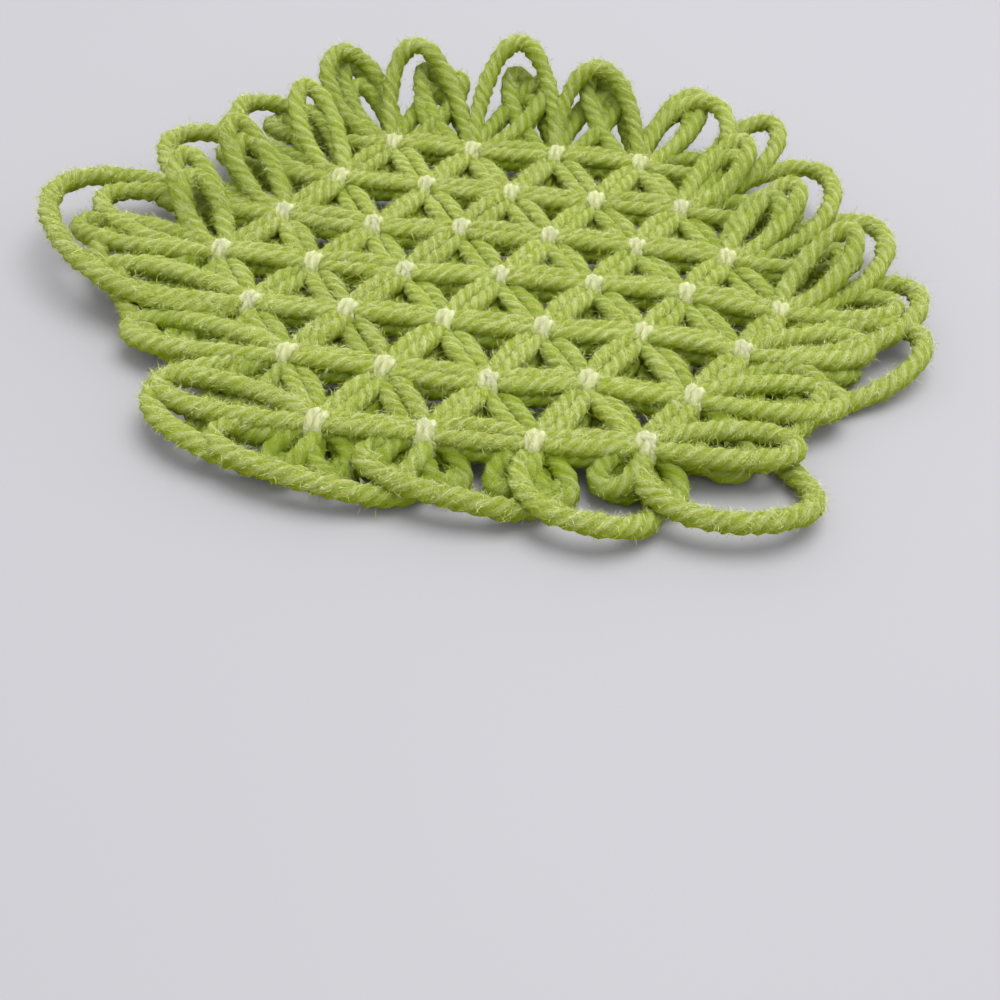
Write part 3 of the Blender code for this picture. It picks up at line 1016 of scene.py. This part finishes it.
class POTHOLDER_OT_wind_sweeps(bpy.types.Operator):
    """Winds the wide loops that carry the yarn from one edge crossing to the next"""

    bl_idname = "pot_holder.wind_sweeps"
    bl_label = "Wind Wide Loops"

    def execute(self, context):
        yarn = context.scene.pot_holder.yarn
        generator = np.random.default_rng(SEED)
        routes = [even_route(*sweep_route(sweep, yarn), RING_SPACING, False) for sweep in SWEEPS]
        item = twisted_yarn(
            "yarn_wide_loops", routes, False, yarn.plies, POINTS_PER_PLY, LOOP_GROOVE,
            yarn.twist_length, generator)
        finish_piece(item, wool_of(LIME.name, LIME), ["wound_yarn"])
        return {"FINISHED"}


def tie_turn(knot, heading, aside, reach, crown, radius):
    """One turn of the tying yarn, over a crossing and back under it."""
    run = heading_vector(heading)
    left = heading_vector(heading + 90)
    foot = radius * SHOULDER
    angles = 2 * math.pi * np.arange(TIE_STEPS) / TIE_STEPS
    places = knot + left * aside + np.outer(np.sin(angles) * reach, run)
    places[:, 2] = (crown + foot) / 2 + (crown - foot) / 2 * np.cos(angles)
    return places, np.full(TIE_STEPS, radius)


class POTHOLDER_OT_tie_crossings(bpy.types.Operator):
    """Ties each crossing with short turns of cream yarn"""

    bl_idname = "pot_holder.tie_crossings"
    bl_label = "Tie Crossings"

    def execute(self, context):
        tie = context.scene.pot_holder.tie
        yarn = context.scene.pot_holder.yarn
        for number, (row, column) in enumerate(knots()):
            generator = np.random.default_rng(SEED + number)
            knot = knot_place(row, column)
            heading = math.degrees(tie.heading) + TIE_SWING * generator.uniform(-1, 1)
            aside = tie.radius * TURN_SPACING / 2
            turns = [
                (heading, -aside), (heading + TURN_SWING * generator.uniform(-1, 1), aside),
            ]
            if generator.uniform() < THIRD_TURN_SHARE:
                swing = THIRD_TURN_SWING * generator.uniform(-1, 1)
                turns.append((heading + THIRD_TURN_HEADING + swing, 0.0))
            routes = []
            for way, aside in turns:
                crown = tie.crown + CROWN_SWING * generator.uniform(-1, 1)
                turn = tie_turn(knot, way, aside, tie.reach, crown, tie.radius)
                routes.append(even_route(*turn, RING_SPACING * TIE_RING_SPACING, True))
            item = twisted_yarn(
                f"cream_tie_{row}_{column}", routes, True, yarn.plies, POINTS_PER_PLY, LAYER_GROOVE,
                TIE_TWIST_LENGTH, generator)
            finish_piece(item, wool_of(CREAM.name, CREAM), [f"tie_{row}_{column}"])
        return {"FINISHED"}


class POTHOLDER_OT_raise_fibres(bpy.types.Operator):
    """Raises the loose fibres of the wool from every yarn"""

    bl_idname = "pot_holder.raise_fibres"
    bl_label = "Raise Fibres"

    def execute(self, context):
        settings = context.scene.pot_holder
        fuzz = settings.fuzz
        sides = settings.yarn.plies * POINTS_PER_PLY
        names = ["yarn_" + layer.name for layer in LAYERS] + ["yarn_wide_loops"]
        skins = {name: skin_of(bpy.data.objects[name], sides) for name in names}
        middles = np.concatenate([skin[3] for skin in skins.values()])
        tree = KDTree(len(middles))
        for number, middle in enumerate(middles):
            tree.insert(middle, number)
        tree.balance()
        covers = {}
        for name in names:
            covers[name] = np.repeat(cover_of(skins[name][3], tree), sides)
            set_cover(bpy.data.objects[name].data, covers[name])
        templates = [fibre_template(nap.bends) for nap in NAPS]
        for number, name in enumerate(names):
            generator = np.random.default_rng(SEED + number)
            spots, outs = skins[name][:2]
            # Little of the nap stands up on the underside of the mat, or deep between the yarns
            weights = uncovered(spots, outs, settings.yarn.bundled_radius, tree).astype(float)
            thickest = np.clip(NAP_LEVEL + NAP_RISE * outs[:, 2], 0.0, 1.0)
            weights *= thickest * (1.0 - NAP_COVERED * covers[name])
            count = int(weights.sum() * fuzz.lime_density)
            picked, roots, root_outs, root_ways = scatter(
                skins[name], weights, count, sides, generator)
            # Painted shade: the fibres on a yarn's side and underside are mixed toward the deep
            # colour, as those of covered yarns are
            side = SIDE_SHADE * np.clip(SIDE_FACING - root_outs[:, 2], 0.0, 1.0)
            shades = np.maximum(covers[name][picked], side)
            groups = []
            first = 0
            for nap, template in zip(NAPS, templates):
                part = slice(first, first + int(count * nap.share))
                first = part.stop
                groups.append(fibre_copies(
                    roots[part], root_outs[part], root_ways[part], shades[part],
                    template, nap, fuzz, generator))
            item = joined_copies(name.replace("yarn", "fibres"), groups)
            wool = wool_of("loose_lime_wool", "DAE29C", "B2BE3A", LIME.deep)
            finish_piece(item, wool, ["wound_yarn"])
        self.raise_on_ties(fuzz, templates[0], sides)
        return {"FINISHED"}

    def raise_on_ties(self, fuzz, template, sides):
        """Raises the cream fibres of all the ties, as one piece."""
        generator = np.random.default_rng(SEED)
        groups = []
        for row, column in knots():
            skin = skin_of(bpy.data.objects[f"cream_tie_{row}_{column}"], sides)
            weights = np.clip(skin[1][:, 2] + TIE_NAP_LEVEL, 0.0, 1.0)
            _, roots, root_outs, root_ways = scatter(
                skin, weights, fuzz.tie_fibres, sides, generator)
            groups.append(fibre_copies(
                roots, root_outs, root_ways, np.zeros(len(roots)),
                template, TIE_NAP, fuzz, generator))
        item = joined_copies("fibres_ties", groups)
        nodes = [f"tie_{row}_{column}" for row, column in knots()]
        wool = wool_of("loose_cream_wool", "F4F7D2", "EDF1BC", CREAM.deep)
        finish_piece(item, wool, nodes)


class POTHOLDER_OT_set_stage(bpy.types.Operator):
    """Lays the plain table, lights it softly and stands the camera in its place"""

    bl_idname = "pot_holder.set_stage"
    bl_label = "Set Stage"

    def execute(self, context):
        stage = context.scene.pot_holder.stage
        body = bmesh.new()
        bmesh.ops.create_grid(body, x_segments=4, y_segments=4, size=TABLE_REACH)
        mesh = bpy.data.meshes.new("table_top")
        body.to_mesh(mesh)
        body.free()
        mesh.materials.append(painted_board(tuple(stage.floor_colour)))
        table = bpy.data.objects.new("table_top", mesh)
        context.scene.collection.objects.link(table)
        table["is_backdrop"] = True

        world = bpy.data.worlds.new("soft_room")
        world.use_nodes = True
        sky = world.node_tree.nodes["Background"]
        sky.inputs["Color"].default_value = rgba("FBFBFF")
        sky.inputs["Strength"].default_value = stage.sky_strength
        context.scene.world = world

        lamp = bpy.data.lights.new("softbox", "AREA")
        lamp.shape = "DISK"
        lamp.size = SOFTBOX_SIZE
        lamp.energy = stage.softbox_power
        softbox = bpy.data.objects.new("softbox", lamp)
        softbox.location = SOFTBOX_PLACE
        softbox.rotation_euler = Vector(softbox.location).to_track_quat("Z", "Y").to_euler()
        context.scene.collection.objects.link(softbox)

        data = bpy.data.cameras.new("camera")
        data.lens = stage.camera_lens
        data.sensor_width = 36.0
        data.clip_start = 0.005
        camera = bpy.data.objects.new("camera", data)
        camera.location = stage.camera_place
        camera.rotation_euler = Euler(stage.camera_turn)
        context.scene.collection.objects.link(camera)
        context.scene.camera = camera
        context.scene.view_settings.view_transform = "Standard"
        return {"FINISHED"}


class POTHOLDER_PT_sidebar(bpy.types.Panel):
    """Lists the pieces of the pot holder and the stage"""

    bl_idname = "POTHOLDER_PT_sidebar"
    bl_label = "Pot Holder"
    bl_space_type = "VIEW_3D"
    bl_region_type = "UI"
    bl_category = "Pot Holder"

    def draw(self, context):
        settings = context.scene.pot_holder
        for operator, group, fields in (
            (POTHOLDER_OT_wind_layers, settings.yarn, YarnSettings.__annotations__),
            (POTHOLDER_OT_wind_sweeps, None, ()),
            (POTHOLDER_OT_tie_crossings, settings.tie, TieSettings.__annotations__),
            (POTHOLDER_OT_raise_fibres, settings.fuzz, FuzzSettings.__annotations__),
            (POTHOLDER_OT_set_stage, settings.stage, StageSettings.__annotations__),
        ):
            box = self.layout.box()
            for field in fields:
                box.prop(group, field)
            box.operator(operator.bl_idname)


CLASSES = (
    YarnSettings, TieSettings, FuzzSettings, StageSettings, PotHolderSettings,
    POTHOLDER_OT_wind_layers, POTHOLDER_OT_wind_sweeps, POTHOLDER_OT_tie_crossings,
    POTHOLDER_OT_raise_fibres, POTHOLDER_OT_set_stage, POTHOLDER_PT_sidebar,
)


def register():
    for item in CLASSES:
        bpy.utils.register_class(item)
    bpy.types.Scene.pot_holder = PointerProperty(type=PotHolderSettings)


def unregister():
    del bpy.types.Scene.pot_holder
    for item in reversed(CLASSES):
        bpy.utils.unregister_class(item)


def main():
    register()
    bpy.ops.pot_holder.wind_layers()
    bpy.ops.pot_holder.wind_sweeps()
    bpy.ops.pot_holder.tie_crossings()
    bpy.ops.pot_holder.raise_fibres()
    bpy.ops.pot_holder.set_stage()
    boxes = {"cad": FRAME_BOX, "visual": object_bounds()}
    {name: [list(corner) for corner in box] for name, box in boxes.items()}


if __name__ == "__main__":
    main()
